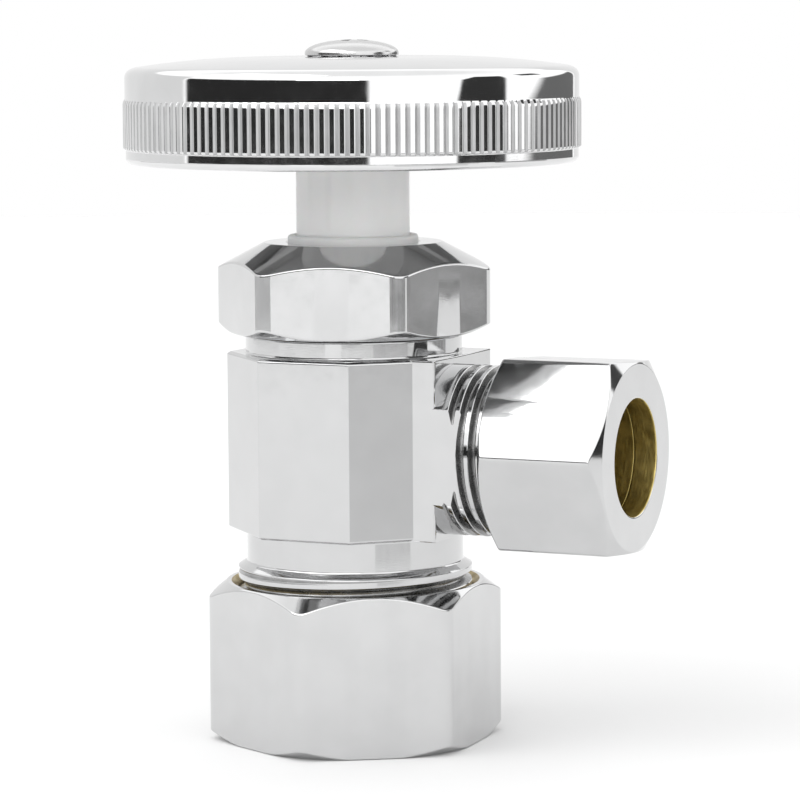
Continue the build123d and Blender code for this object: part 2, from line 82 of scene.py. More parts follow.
# ---- sizes shared with the CAD model ----------------------------------------------------------------
GAP = 0.06
PLAY = 0.09                                 # round a tube or the stem in its bore
SLEEVE_HOLD = 1.15                          # how far a sleeve reaches into the male thread's mouth
SEAT_SLOPE = math.tan(math.radians(30))
body_across_flats = 25 / 32 * INCH
body_bottom, body_top = 17.8, 32.85
body_edge = 0.3
outlet_face_x, outlet_pad_half = 10.04, 5.95
outlet_flats_end_x, outlet_thread_end_x = 12.4, 10.7
neck_r, neck_bottom = 9.18, 14.75
shoulder_r, shoulder_top = 9.15, 34.3
throat_r, orifice_r, chamber_r, waterway_r = 5.6, 3.5, 6.6, 3.2
throat_top, orifice_bottom, seat_top = 18.4, 19.8, 22.3
chamber_bottom, chamber_top = 21.2, 28.6
port_end_x = 5.4                            # the outlet port's inner end, inside the chamber
tube_stop_z, tube_stop_x = 17.0, 12.5
inlet_chamfer, outlet_chamfer, neck_chamfer = 0.6, 0.5, 0.5
thread_depth = 0.6
stem_r, stem_thread_r = 3 / 16 * INCH, 5.5
stem_thread_depth = 0.55
packing_r, packing_floor = 7.0, 35.0
body_neck_top = node_top("valve_body")
bonnet_across_flats, bonnet_turn = 13 / 16 * INCH, 14.5
bonnet_face_r, bonnet_thread_r, bonnet_pitch = 7.5, 8.9, INCH / 20
stem_shoulder = 50.9
outlet_middle = (node_box("outlet_ferrule")[0] + node_box("outlet_ferrule")[1]) / 2
outlet_axis_z = outlet_middle.z
outlet_end_x = node_box("outlet_nut")[1].x

UPRIGHT = Matrix.Identity(4)
# the outlet's own frame: its third axis runs from the nut's mouth into the valve
OUTLET = Matrix(((0, 0, -1, outlet_end_x), (0, 1, 0, 0), (1, 0, 0, outlet_axis_z), (0, 0, 0, 1)))


class End:
    """One compression end, measured inward from the mouth of its nut."""

    def __init__(self, axes, tube, flats, length, floor, mouth_r, face_r, slope, corner, turn,
                 thread_r, pitch, wall, sleeve, taper):
        self.axes, self.flats, self.length, self.floor = axes, flats, length, floor
        self.mouth_r, self.face_r, self.slope = mouth_r, face_r, slope
        self.corner, self.turn, self.thread_r, self.pitch = corner, turn, thread_r, pitch
        self.bore_r = tube / 2 + PLAY
        self.sleeve_r, self.taper = self.bore_r + wall, taper
        self.sleeve_start = floor + GAP
        self.sleeve_end = self.sleeve_start + sleeve
        self.mouth = self.sleeve_end - SLEEVE_HOLD
        self.seat_end = self.sleeve_end + (wall - taper + GAP) / SEAT_SLOPE
        self.groove = self.mouth - 1.25 * pitch     # the male thread's first groove, off its end

    def seat_r(self, along):
        return self.sleeve_r - self.taper + GAP + (self.sleeve_end - along) * SEAT_SLOPE


inlet = End(UPRIGHT, tube=5 / 8 * INCH, flats=22.0, length=13.45, floor=2.2, mouth_r=11.1, face_r=10.9,
            slope=37, corner=1.3, turn=3.0, thread_r=25 / 64 * INCH, pitch=INCH / 18, wall=0.85,
            sleeve=6.0, taper=0.55)
outlet = End(OUTLET, tube=3 / 8 * INCH, flats=15.7, length=10.9, floor=2.0, mouth_r=7.7, face_r=7.7,
             slope=30, corner=0.5, turn=3.5, thread_r=9 / 32 * INCH, pitch=INCH / 24, wall=0.70,
             sleeve=4.9, taper=0.45)


# ---- mesh building ----------------------------------------------------------------------------------
# material places of a piece: plated outside, bare metal inside, painted shade in the bottoms of the threads
OUTSIDE, INSIDE, ROOT_SHADE = 0, 1, 2


def soften(corners, closed, steps=4, support=0.06):
    """Rounds an outline. A corner is (radius, along, fillet, material of the stretch that follows it)."""
    count = len(corners)
    points = []
    for i, (r, s, fillet, paint) in enumerate(corners):
        if fillet == 0 or (not closed and i in (0, count - 1)):
            points.append((r, s, paint))
            continue
        here = Vector((r, s))
        back = Vector(corners[i - 1][:2]) - here
        ahead = Vector(corners[(i + 1) % count][:2]) - here
        room = 0.42 * min(back.length, ahead.length)
        if room < 1e-5:
            points += [(r, s, paint)] * (steps + 3)
            continue
        back.normalize()
        ahead.normalize()
        inner = back.angle(ahead)
        run = min(fillet / max(math.tan(inner / 2), 1e-3), room)
        ease = min(support, room - run + 1e-6)
        start, end = here + back * run, here + ahead * run
        before = corners[i - 1][3]
        points.append((*(start + back * ease), before))
        for k in range(steps + 1):
            t = k / steps
            # a conic through the corner's tangents, close to a circle
            weight = math.sin(inner / 2)
            a, b, c = (1 - t) ** 2, 2 * t * (1 - t) * weight, t ** 2
            p = (start * a + here * b + end * c) / (a + b + c)
            points.append((p.x, p.y, paint if k >= steps / 2 else before))
        points.append((*(end + ahead * ease), paint))
    return points


def column_mesh(name, axes, columns, closed=True):
    """A solid from columns of (angle, [(radius, along, material)...]); the last column closes the turn."""
    vertices, faces, paints = [], [], []
    rows = len(columns[0][1])
    for angle, column in columns:
        c, s = math.cos(angle), math.sin(angle)
        for r, along, _ in column:
            vertices.append((axes @ Vector((r * c, r * s, along))) * MM)
    last = rows if closed else rows - 1
    for i in range(len(columns) - 1):
        for j in range(last):
            k = (j + 1) % rows
            faces.append((i * rows + j, (i + 1) * rows + j, (i + 1) * rows + k, i * rows + k))
            paints.append(columns[i][1][j][2])
    mesh = bpy.data.meshes.new(name)
    mesh.from_pydata(vertices, [], faces)
    mesh.polygons.foreach_set("material_index", paints)
    shell = bmesh.new()
    shell.from_mesh(mesh)
    bmesh.ops.remove_doubles(shell, verts=shell.verts, dist=2e-7)
    bmesh.ops.dissolve_degenerate(shell, edges=shell.edges, dist=1e-8)
    loose = [e for e in shell.edges if not e.link_faces]
    bmesh.ops.delete(shell, geom=loose, context="EDGES")
    bmesh.ops.recalc_face_normals(shell, faces=shell.faces)
    shell.to_mesh(mesh)
    shell.free()
    piece = bpy.data.objects.new(name, mesh)
    bpy.context.scene.collection.objects.link(piece)
    return piece


def round_angles(count):
    return [TAU * i / count for i in range(count + 1)]


def turned(name, axes, corners, count=128, closed=True):
    """A plain turned piece."""
    column = soften(corners, closed)
    return column_mesh(name, axes, [(a, column) for a in round_angles(count)], closed)


def polygon_reach(sides, corner, per_side, steps=6, support=0.08):
    """(angle, reach) round a polygon with rounded corners. A side is (angle of its normal, distance)."""
    count = len(sides)
    plan = []
    for k in range(count):
        (a1, d1), (a2, d2) = sides[k], sides[(k + 1) % count]
        n1, n2 = Vector((math.cos(a1), math.sin(a1))), Vector((math.cos(a2), math.sin(a2)))
        cross = n1.x * n2.y - n1.y * n2.x
        e1, e2 = d1 - corner, d2 - corner
        centre = Vector((e1 * n2.y - e2 * n1.y, e2 * n1.x - e1 * n2.x)) / cross
        turn = (a2 - a1) % TAU
        swing = [a1 + turn * i / steps for i in range(steps + 1)]
        plan.append([centre + Vector((math.cos(a), math.sin(a))) * corner for a in swing])
    around = []
    for k in range(count):
        arc, following = plan[k], plan[(k + 1) % count]
        around += arc
        start, end = arc[-1], following[0]
        length = (end - start).length
        shares = [support / length]
        shares += [support / length + (1 - 2 * support / length) * i / per_side for i in range(1, per_side)]
        shares.append(1 - support / length)
        around += [start.lerp(end, t) for t in shares]
    result = []
    previous = None
    for p in around + around[:1]:
        angle = math.atan2(p.y, p.x)
        while previous is not None and angle < previous - 1e-9:
            angle += TAU
        previous = angle
        result.append((angle, p.length))
    return result


def hexagon(across_flats, corner, first_corner, per_side=24):
    sides = [(math.radians(first_corner + 30 + 60 * k), across_flats / 2) for k in range(6)]
    return polygon_reach(sides, corner, per_side)


# one thread groove: place within the pitch, share of its depth
GROOVE = ((-0.36, 0.0), (-0.31, 0.08), (-0.10, 0.92), (-0.03, 1.0),
          (0.03, 1.0), (0.10, 0.92), (0.31, 0.08), (0.36, 0.0))
THREAD_FADE = 0.6                           # pitches over which a thread runs in and out


def thread_rows(angle, crest_r, depth, pitch, first, start, end, root=ROOT_SHADE):
    """Rows that follow a helical groove between two heights; first is a groove's height at angle 0."""
    rows = []
    turn = angle / TAU
    count = int((end - start) / pitch) + 4
    base = first + pitch * (math.floor((start - first) / pitch) - 1)
    for k in range(count):
        for index, (offset, share) in enumerate(GROOVE):
            along = base + (k + turn + offset) * pitch
            run_in = min(1.0, max(0.0, (along - start) / (THREAD_FADE * pitch)))
            run_out = min(1.0, max(0.0, (end - along) / (THREAD_FADE * pitch)))
            cut = depth * share * min(run_in, run_out)
            # faces inside a groove take the root paint, by default the painted shade of the thread bottoms
            inside = start < along < end and 1 <= index < len(GROOVE) - 2
            along = min(max(along, start), end)
            rows.append((crest_r - cut, along, 0, root if inside else OUTSIDE))
    return rows


def shaped(name, axes, plan, corners_at, closed=True):
    """A piece whose profile depends on the angle and on the plan's (angle, reach), as threads need."""
    return column_mesh(name, axes, [(a, soften(corners_at(a, reach), closed)) for a, reach in plan], closed)


def round_plan(count):
    """The plan of a piece that is round but for its threads or teeth."""
    return [(a, 0) for a in round_angles(count)]


def boolean(piece, other, operation):
    """piece joined with, or cut by, other; other is used up."""
    step = piece.modifiers.new("step", "BOOLEAN")
    step.operation = operation
    step.solver = "MANIFOLD"
    step.object = other
    graph = bpy.context.evaluated_depsgraph_get()
    mesh = bpy.data.meshes.new_from_object(piece.evaluated_get(graph), depsgraph=graph)
    piece.modifiers.clear()
    piece.data = mesh
    bpy.data.objects.remove(other)
    return piece


def box_cutter(name, size, centre, taper=1.0):
    """A block whose lower end is narrowed by taper."""
    half = Vector(size) / 2
    vertices = []
    faces = [(0, 3, 2, 1), (4, 5, 6, 7), (0, 1, 5, 4), (1, 2, 6, 5), (2, 3, 7, 6), (3, 0, 4, 7)]
    for z, scale in ((-half.z, taper), (half.z, 1.0)):
        for x, y in ((-1, -1), (1, -1), (1, 1), (-1, 1)):
            vertices.append((Vector((x * half.x * scale, y * half.y * scale, z)) + Vector(centre)) * MM)
    mesh = bpy.data.meshes.new(name)
    mesh.from_pydata(vertices, [], faces)
    piece = bpy.data.objects.new(name, mesh)
    bpy.context.scene.collection.objects.link(piece)
    return piece


def dress(piece, materials, smooth_angle):
    """Smooth shading with true edges kept, and the piece's materials in order."""
    paints = [polygon.material_index for polygon in piece.data.polygons]
    piece.data.materials.clear()
    for material in materials:
        piece.data.materials.append(material)
    piece.data.polygons.foreach_set("material_index", paints)
    piece.data.polygons.foreach_set("use_smooth", [True] * len(piece.data.polygons))
    piece.data.set_sharp_from_angle(angle=math.radians(smooth_angle))
    piece.data.update()


# ---- materials --------------------------------------------------------------------------------------
def new_material(name):
    material = bpy.data.materials.new(name)
    material.use_nodes = True
    nodes = material.node_tree.nodes
    shader = nodes["Principled BSDF"]
    coords = nodes.new("ShaderNodeTexCoord")
    return material, material.node_tree, shader, coords


def noise(tree, coords, scale, detail=3.0, stretch=None):
    """Noise over the piece's own coordinates; scale is in cycles per metre."""
    texture = tree.nodes.new("ShaderNodeTexNoise")
    texture.inputs["Scale"].default_value = scale
    texture.inputs["Detail"].default_value = detail
    source = coords.outputs["Object"]
    if stretch:
        mapping = tree.nodes.new("ShaderNodeMapping")
        mapping.inputs["Scale"].default_value = stretch
        tree.links.new(source, mapping.inputs["Vector"])
        source = mapping.outputs["Vector"]
    tree.links.new(source, texture.inputs["Vector"])
    return texture.outputs["Fac"]


def spread(tree, source, low, high):
    """Maps a 0 to 1 value onto low to high."""
    node = tree.nodes.new("ShaderNodeMapRange")
    node.inputs["From Min"].default_value = 0.3
    node.inputs["From Max"].default_value = 0.7
    node.inputs["To Min"].default_value = low
    node.inputs["To Max"].default_value = high
    tree.links.new(source, node.inputs["Value"])
    return node.outputs["Result"]


def tint(tree, source, first, second):
    """A colour that runs between two with a value."""
    ramp = tree.nodes.new("ShaderNodeValToRGB")
    ramp.color_ramp.elements[0].position = 0.35
    ramp.color_ramp.elements[1].position = 0.65
    ramp.color_ramp.elements[0].color = (*first, 1)
    ramp.color_ramp.elements[1].color = (*second, 1)
    tree.links.new(source, ramp.inputs["Fac"])
    return ramp.outputs["Color"]


def bumps(tree, shader, layers):
    """Stacks bump layers of (height, strength, distance in metres) onto the shader's normal."""
    normal = None
    for height, strength, distance in layers:
        bump = tree.nodes.new("ShaderNodeBump")
        bump.inputs["Strength"].default_value = strength
        bump.inputs["Distance"].default_value = distance
        tree.links.new(height, bump.inputs["Height"])
        if normal is not None:
            tree.links.new(normal, bump.inputs["Normal"])
        normal = bump.outputs["Normal"]
    tree.links.new(normal, shader.inputs["Normal"])


def chrome(name, bright, dull, rough_low, rough_high, wave):
    """Plated metal: faint colour clouds, fine polishing lines and the slight swell of buffed faces."""
    material, tree, shader, coords = new_material(name)
    shader.inputs["Metallic"].default_value = 1.0
    tree.links.new(tint(tree, noise(tree, coords, 320), bright, dull), shader.inputs["Base Color"])
    scuffs = noise(tree, coords, 900, 6)
    tree.links.new(spread(tree, scuffs, rough_low, rough_high), shader.inputs["Roughness"])
    swell = noise(tree, coords, 420, 2)
    lines = noise(tree, coords, 1500, 2, (1, 1, 9))
    bumps(tree, shader, ((swell, wave, 0.00004), (lines, 0.05, 0.00001)))
    return material


def turned_metal(name, bright, dull, rough_low, rough_high, stretch):
    """Bare machined metal with tool rings round the axis that stretch picks out."""
    material, tree, shader, coords = new_material(name)
    shader.inputs["Metallic"].default_value = 1.0
    tree.links.new(tint(tree, noise(tree, coords, 700, 5), bright, dull), shader.inputs["Base Color"])
    rings = noise(tree, coords, 1000, 4, stretch)
    tree.links.new(spread(tree, rings, rough_low, rough_high), shader.inputs["Roughness"])
    bumps(tree, shader, ((rings, 0.35, 0.00003),))
    return material


def plastic(name, first, second, rough_low, rough_high, grain, subsurface=0.0):
    """Moulded plastic with a fine satin grain and faint flow clouds."""
    material, tree, shader, coords = new_material(name)
    tree.links.new(tint(tree, noise(tree, coords, 160, 4), first, second), shader.inputs["Base Color"])
    fine = noise(tree, coords, 5200, 3)
    patches = noise(tree, coords, 700, 3)
    tree.links.new(spread(tree, patches, rough_low, rough_high), shader.inputs["Roughness"])
    shader.inputs["Subsurface Weight"].default_value = subsurface
    shader.inputs["Subsurface Scale"].default_value = 0.0008
    bumps(tree, shader, ((fine, grain, 0.00002),))
    return material


chrome_body = chrome("chrome_body", (0.60, 0.602, 0.605), (0.58, 0.582, 0.585), 0.05, 0.10, 0.10)
chrome_nut = chrome("chrome_nut", (0.63, 0.632, 0.635), (0.605, 0.607, 0.61), 0.05, 0.10, 0.10)
chrome_handle = chrome("chrome_handle", (0.72, 0.722, 0.725), (0.69, 0.692, 0.695), 0.04, 0.08, 0.04)
# matte plating for the flutes and the inside of the cap; its colour, darker than the handle's, is painted
# shade
chrome_flute_shade = chrome("chrome_flute_shade", (0.52, 0.522, 0.525), (0.46, 0.462, 0.465), 0.52, 0.64, 0.04)
chrome_screw = chrome("chrome_screw", (0.60, 0.60, 0.60), (0.54, 0.54, 0.54), 0.16, 0.26, 0.10)
steel = turned_metal("steel", (0.56, 0.56, 0.57), (0.42, 0.42, 0.43), 0.22, 0.38, (1, 1, 6))
brass_inside = turned_metal("brass_inside", (0.52, 0.42, 0.22), (0.36, 0.28, 0.13), 0.30, 0.48, (1, 1, 7))
# painted shade: the bottoms of the threads are painted a darker grey than the plating
thread_root_shade = turned_metal("thread_root_shade", (0.36, 0.36, 0.36), (0.26, 0.26, 0.26), 0.20, 0.3, (1, 1, 1))
brass_outlet = turned_metal("brass_outlet", (0.66, 0.54, 0.20), (0.44, 0.35, 0.12), 0.30, 0.50, (7, 1, 1))
stem_plastic = plastic("stem_plastic", (0.90, 0.90, 0.895), (0.94, 0.94, 0.935), 0.34, 0.46, 0.12, 0.06)
hub_plastic = plastic("hub_plastic", (0.37, 0.37, 0.37), (0.43, 0.43, 0.43), 0.42, 0.56, 0.20)
slip_plastic = plastic("slip_plastic", (0.78, 0.78, 0.76), (0.84, 0.84, 0.82), 0.30, 0.42, 0.10)
gasket_fibre = plastic("gasket_fibre", (0.26, 0.13, 0.08), (0.34, 0.18, 0.11), 0.7, 0.85, 0.5)
rubber = plastic("rubber", (0.018, 0.018, 0.019), (0.032, 0.032, 0.033), 0.55, 0.75, 0.35)
# material of each slot among the CAD nodes that keep their own mesh
PLAIN = {"steel": steel, "brass": brass_inside, "hub_plastic": hub_plastic, "slip_plastic": slip_plastic,
         "gasket": gasket_fibre, "rubber": rubber}


def place(piece, body, node, materials, smooth_angle=38):
    """Puts a finished piece on its body in place of a CAD node."""
    dress(piece, materials, smooth_angle)
    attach(piece, body)
    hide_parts(node)


# ---- valve body -------------------------------------------------------------------------------------
octagon_sides = [(math.radians(45 * k), body_across_flats / 2) for k in range(8)]
body_corner = 0.22
octagon = polygon_reach(octagon_sides, body_corner, per_side=8, steps=4)


def body_profile(angle, reach):
    rim = max(reach - body_edge, neck_r + 0.01)
    mouth_seat_r = inlet.seat_r(inlet.mouth)
    inlet_start = inlet.mouth + inlet_chamfer
    stem_way_r = stem_thread_r + 0.1
    return (
        [(mouth_seat_r, inlet.mouth, 0, OUTSIDE),
         (inlet.thread_r - inlet_chamfer, inlet.mouth, 0.05, OUTSIDE),
         (inlet.thread_r, inlet_start, 0, OUTSIDE)]
        + thread_rows(angle, inlet.thread_r, thread_depth, inlet.pitch, inlet.groove, inlet_start,
                      neck_bottom - 0.1)
        + [(inlet.thread_r, neck_bottom, 0.1, OUTSIDE), (neck_r, neck_bottom + 0.45, 0.2, OUTSIDE),
           (neck_r, body_bottom, 0.12, OUTSIDE), (rim, body_bottom, 0.1, OUTSIDE),
           (reach, body_bottom + body_edge * 0.6, 0.12, OUTSIDE),
           (reach, body_top - body_edge * 0.6, 0.12, OUTSIDE), (rim, body_top, 0.1, OUTSIDE),
           (shoulder_r, body_top, 0.15, OUTSIDE), (shoulder_r, shoulder_top, 0.1, OUTSIDE),
           (bonnet_thread_r, shoulder_top + 0.1, 0, OUTSIDE)]
        + thread_rows(angle, bonnet_thread_r, thread_depth, bonnet_pitch, shoulder_top + 0.7,
                      shoulder_top + 0.5, body_neck_top - 0.6)
        + [(bonnet_thread_r, body_neck_top - neck_chamfer, 0, OUTSIDE),
           (bonnet_thread_r - neck_chamfer, body_neck_top, 0.05, INSIDE),
           (packing_r, body_neck_top, 0.05, INSIDE), (packing_r, packing_floor, 0, INSIDE),
           (stem_way_r, packing_floor, 0, INSIDE), (stem_way_r, chamber_top, 0, INSIDE),
           (chamber_r, chamber_top, 0, INSIDE), (chamber_r, chamber_bottom, 0, INSIDE),
           (orifice_r + 1.2, chamber_bottom, 0, INSIDE), (orifice_r + 0.8, seat_top, 0.05, INSIDE),
           (orifice_r, seat_top, 0.1, INSIDE), (orifice_r, orifice_bottom, 0, INSIDE),
           (throat_r, throat_top, 0, INSIDE), (throat_r, tube_stop_z, 0.1, INSIDE),
           (inlet.bore_r, tube_stop_z, 0, INSIDE), (inlet.bore_r, inlet.seat_end, 0.05, INSIDE)]
    )


body = shaped("body_casting", UPRIGHT, octagon, body_profile)

pad_inner_x = 7.2                           # the pad starts inside the octagon's wall
pad_middle_x = (pad_inner_x + outlet_face_x) / 2
pad_axes = Matrix.Translation((pad_middle_x, 0, 0))
pad_sides = [(0, outlet_face_x - pad_middle_x), (TAU / 4, outlet_pad_half),
             (TAU / 2, pad_middle_x - pad_inner_x), (TAU * 3 / 4, outlet_pad_half)]


def pad_profile(_, reach):
    return [(0, body_bottom, 0, OUTSIDE), (reach, body_bottom, 0.12, OUTSIDE),
            (reach, body_top, 0.12, OUTSIDE), (0, body_top, 0, OUTSIDE)]


pad_plan = polygon_reach(pad_sides, body_corner, per_side=8, steps=4)
pad = shaped("pad", pad_axes, pad_plan, pad_profile, closed=False)
body = boolean(body, pad, "UNION")


def boss_profile(angle, _):
    outlet_start = outlet.mouth + outlet_chamfer
    base = outlet_end_x - outlet_face_x + 1.0   # well inside the pad
    return (
        [(0, outlet.mouth, 0, OUTSIDE), (outlet.thread_r - outlet_chamfer, outlet.mouth, 0.05, OUTSIDE),
         (outlet.thread_r, outlet_start, 0, OUTSIDE)]
        + thread_rows(angle, outlet.thread_r, thread_depth, outlet.pitch, outlet.groove, outlet_start,
                      outlet_end_x - outlet_thread_end_x)
        + [(outlet.thread_r, base, 0, OUTSIDE), (0, base, 0, OUTSIDE)]
    )


boss = shaped("boss", OUTLET, round_plan(160), boss_profile, closed=False)
# the boss keeps the pad's side faces for a little way
boss_root_x = outlet_face_x - 1.2
flat_thick, flat_tall = 4.0, 20.0
for side in (-1, 1):
    flat = box_cutter("flat", (outlet_flats_end_x - boss_root_x, flat_thick, flat_tall),
                      ((boss_root_x + outlet_flats_end_x) / 2, side * (outlet_pad_half + flat_thick / 2),
                       outlet_axis_z))
    boss = boolean(boss, flat, "DIFFERENCE")
body = boolean(body, boss, "UNION")
bore_start = outlet.mouth - 1.0
tube_stop, port_end = outlet_end_x - tube_stop_x, outlet_end_x - port_end_x
bore = turned("bore", OUTLET, [
    (0, bore_start, 0, INSIDE), (outlet.seat_r(bore_start), bore_start, 0, INSIDE),
    (outlet.bore_r, outlet.seat_end, 0, INSIDE), (outlet.bore_r, tube_stop, 0, INSIDE),
    (waterway_r, tube_stop, 0, INSIDE), (waterway_r, port_end, 0, INSIDE), (0, port_end, 0, INSIDE)],
    count=96, closed=False)
body = boolean(body, bore, "DIFFERENCE")
BODY_SMOOTH = 22                            # degrees; keeps the octagon's flats apart from its corners
place(body, "valve_body", "valve_body", [chrome_body, brass_inside, thread_root_shade], BODY_SMOOTH)


# ---- bonnet nut -------------------------------------------------------------------------------------
bonnet_low, bonnet_high = node_bottom("bonnet_nut"), node_top("bonnet_nut")
gasket_top = node_top("bonnet_gasket")
gland_flange_top = 40.0
bonnet_slope, bonnet_low_slope = math.tan(math.radians(28)), math.tan(math.radians(30))
bonnet_corner, bonnet_hole_r = 1.8, 5.6


def bonnet_profile(_, reach):
    rise = max(0.1, (reach - bonnet_across_flats / 2) * bonnet_low_slope)
    drop = (reach - bonnet_face_r) * bonnet_slope
    return [
        (bonnet_thread_r + GAP, bonnet_low, 0.1, OUTSIDE),
        (min(bonnet_across_flats / 2, reach) - 0.15, bonnet_low, 0.12, OUTSIDE),
        (reach, bonnet_low + rise, 0.16, OUTSIDE), (reach, bonnet_high - drop, 0.2, OUTSIDE),
        (bonnet_face_r, bonnet_high, 0.2, OUTSIDE), (bonnet_hole_r, bonnet_high, 0.2, OUTSIDE),
        (bonnet_hole_r, gland_flange_top + GAP, 0, INSIDE), (packing_r, gland_flange_top + GAP, 0, INSIDE),
        (packing_r, gasket_top, 0, INSIDE), (bonnet_thread_r + GAP, gasket_top, 0, INSIDE)]


bonnet_plan = hexagon(bonnet_across_flats, bonnet_corner, bonnet_turn)
bonnet = shaped("bonnet_hexagon", UPRIGHT, bonnet_plan, bonnet_profile)
place(bonnet, "bonnet_nut", "bonnet_nut", [chrome_nut, brass_inside])

# ---- gland and stem ---------------------------------------------------------------------------------
seal_r = stem_r + PLAY
gland_flange_r, gland_rim_r = packing_r - 0.05, 5.5
gland_low, gland_high = node_bottom("gland_follower"), node_top("gland_follower")
gland = turned("gland_ring", UPRIGHT, [
    (seal_r, gland_low, 0, 0), (gland_flange_r, gland_low, 0.1, 0),
    (gland_flange_r, gland_flange_top, 0.1, 0), (gland_rim_r, gland_flange_top, 0, 0),
    (gland_rim_r, gland_high, 0.32, 0), (seal_r, gland_high, 0.12, 0)])
place(gland, "gland", "gland_follower", [stem_plastic])

stem_low, stem_high = node_bottom("stem"), node_top("stem")
spigot_r, spigot_top = 2.25, node_top("washer_retainer")
clip_low, clip_high = node_bottom("retainer_clip"), node_top("retainer_clip")
thread_top = packing_floor - 0.1
stem_thread_pitch, stem_chamfer = INCH / 20, 0.5
spline_root_r, spline_height, SPLINES = 3.8, 0.5, 16
screw_hole_r, screw_hole_floor = 2.13, 45.2
spigot_hole_r = spigot_r + 0.08
clip_groove_r = spigot_r + 0.5


def stem_profile(angle, _):
    tooth = 0.5 + 0.5 * math.cos(SPLINES * angle)
    spline_r = spline_root_r + spline_height * min(1.0, max(0.0, (tooth - 0.2) / 0.6))
    return (
        [(spigot_hole_r, stem_low, 0.05, 0), (stem_thread_r - stem_chamfer, stem_low, 0.1, 0),
         (stem_thread_r, stem_low + stem_chamfer, 0, 0)]
        + thread_rows(angle, stem_thread_r, stem_thread_depth, stem_thread_pitch,
                      stem_low - stem_thread_pitch, stem_low + stem_chamfer, thread_top - 1.0, 0)
        + [(stem_thread_r, thread_top, 0.2, 0), (stem_r, thread_top, 0, 0), (stem_r, stem_shoulder, 0.2, 0),
           (spline_r, stem_shoulder, 0, 0), (spline_r, stem_high, 0.1, 0), (screw_hole_r, stem_high, 0, 0),
           (screw_hole_r, screw_hole_floor, 0, 0), (0, screw_hole_floor, 0, 0), (0, spigot_top + 0.7, 0, 0),
           (spigot_hole_r, spigot_top + 0.1, 0, 0), (spigot_hole_r, clip_high + 0.1, 0, 0),
           (clip_groove_r, clip_high + 0.1, 0, 0), (clip_groove_r, clip_low - 0.1, 0, 0),
           (spigot_hole_r, clip_low - 0.1, 0, 0)]
    )


stem = shaped("stem_shaft", UPRIGHT, round_plan(160), stem_profile)
place(stem, "stem_and_handle", "stem", [stem_plastic])

# ---- handle -----------------------------------------------------------------------------------------
shell_low, shell_high = node_bottom("handle_shell"), node_top("handle_shell")
tooth_r, root_r = 19.19, 19.07
band_r, band_top = 19.02, 55.9
skirt_r, skirt_low = 18.97, 49.26
inner_r, lip_r = 17.6, 18.47
ceiling = node_top("handle_hub")
knurl_low, knurl_high = 50.0, 54.05
TEETH = 150
cap_hole_r, recess_r, recess_floor = 2.2, 3.83, 57.25
crown_flat_r, crown_edge_r, crown_drop = 7.0, 18.0, 0.8


def bezier(a, b, c, d, count):
    """Points along a cubic, without its last one."""
    points = []
    for i in range(count):
        t = i / count
        u = 1 - t
        points.append(tuple(u ** 3 * p + 3 * u * u * t * q + 3 * u * t * t * r + t ** 3 * s
                            for p, q, r, s in zip(a, b, c, d)))
    return points


crown = [(crown_flat_r + (crown_edge_r - crown_flat_r) * i / 10, shell_high - crown_drop * (i / 10) ** 2)
         for i in range(10)]
rim = bezier((crown_edge_r, shell_high - crown_drop), (18.55, shell_high - 0.88), (band_r, 56.45),
             (band_r, band_top), 9)
lip = [(skirt_r, 49.32)]
lip += bezier((skirt_r, skirt_low), (skirt_r, 48.95), (18.75, shell_low), (lip_r, shell_low), 8)

# one tooth of the knurl: place within the pitch, and how far the surface stands from root to tip
TOOTH = ((-0.28, 0.93), (-0.22, 1.0), (-0.15, 1.0), (0.0, 1.0), (0.15, 1.0), (0.22, 1.0), (0.28, 0.93),
         (0.36, 0.5), (0.50, 0.0), (0.64, 0.5))
# (distance above the knurl's end, share of the teeth's height) at its upper and lower end
KNURL_TOP = ((0.04, 0.25), (-0.14, 0.8), (-0.3, 1.0), (-0.42, 1.0))
KNURL_FOOT = ((0.02, 0.3), (-0.06, 0.85), (-0.12, 1.0), (-0.22, 1.0))
FLUTE_SHADE = 1                                   # material place: matte plating in the flutes and inside the cap, its darker colour painted shade


def shell_profile(_, tip_share):
    tooth = root_r + (tooth_r - root_r) * tip_share
    flute = FLUTE_SHADE if tip_share < 0.97 else 0
    rows = [(cap_hole_r, ceiling, 0.1, 0), (cap_hole_r, recess_floor, 0.05, 0),
            (recess_r, recess_floor, 0.05, 0), (recess_r, shell_high, 0.06, 0)]
    rows += [(r, z, 0, 0) for r, z in crown + rim]
    rows += [(band_r, band_top, 0, 0), (band_r, knurl_high + 0.16, 0.04, 0)]
    rows += [(band_r + (tooth - band_r) * share, knurl_high + rise, 0, flute) for rise, share in KNURL_TOP]
    rows += [(skirt_r + (tooth - skirt_r) * share, knurl_low - rise, 0, flute if share > 0.5 else 0)
             for rise, share in reversed(KNURL_FOOT)]
    rows.append((skirt_r, knurl_low - 0.08, 0.02, 0))
    rows += [(r, z, 0, 0) for r, z in lip]
    rows += [(lip_r, shell_low, 0, 0), (inner_r, shell_low, 0.12, FLUTE_SHADE), (inner_r, ceiling, 0.7, FLUTE_SHADE)]
    return rows


tooth_step = TAU / TEETH
knurl = [((k + along) * tooth_step, share) for k in range(TEETH) for along, share in TOOTH]
knurl.append((knurl[0][0] + TAU, TOOTH[0][1]))
shell = shaped("handle_cap", UPRIGHT, knurl, shell_profile)
place(shell, "stem_and_handle", "handle_shell", [chrome_handle, chrome_flute_shade])

head_r, head_top = 3.93, node_top("handle_screw")
washer_top = node_top("lock_washer")
screw_tip = node_bottom("handle_screw")
dome_base = washer_top + 0.2
DOME_STEPS = 14
dome = [(head_r * math.cos(t), dome_base + (head_top - dome_base) * math.sin(t))
        for t in [math.pi / 2 * i / DOME_STEPS for i in range(DOME_STEPS)]]
shank_r, shank_chamfer, shank_thread_top = 2.08, 0.4, 53.5
shank_pitch, shank_thread_depth = 0.79, 0.3


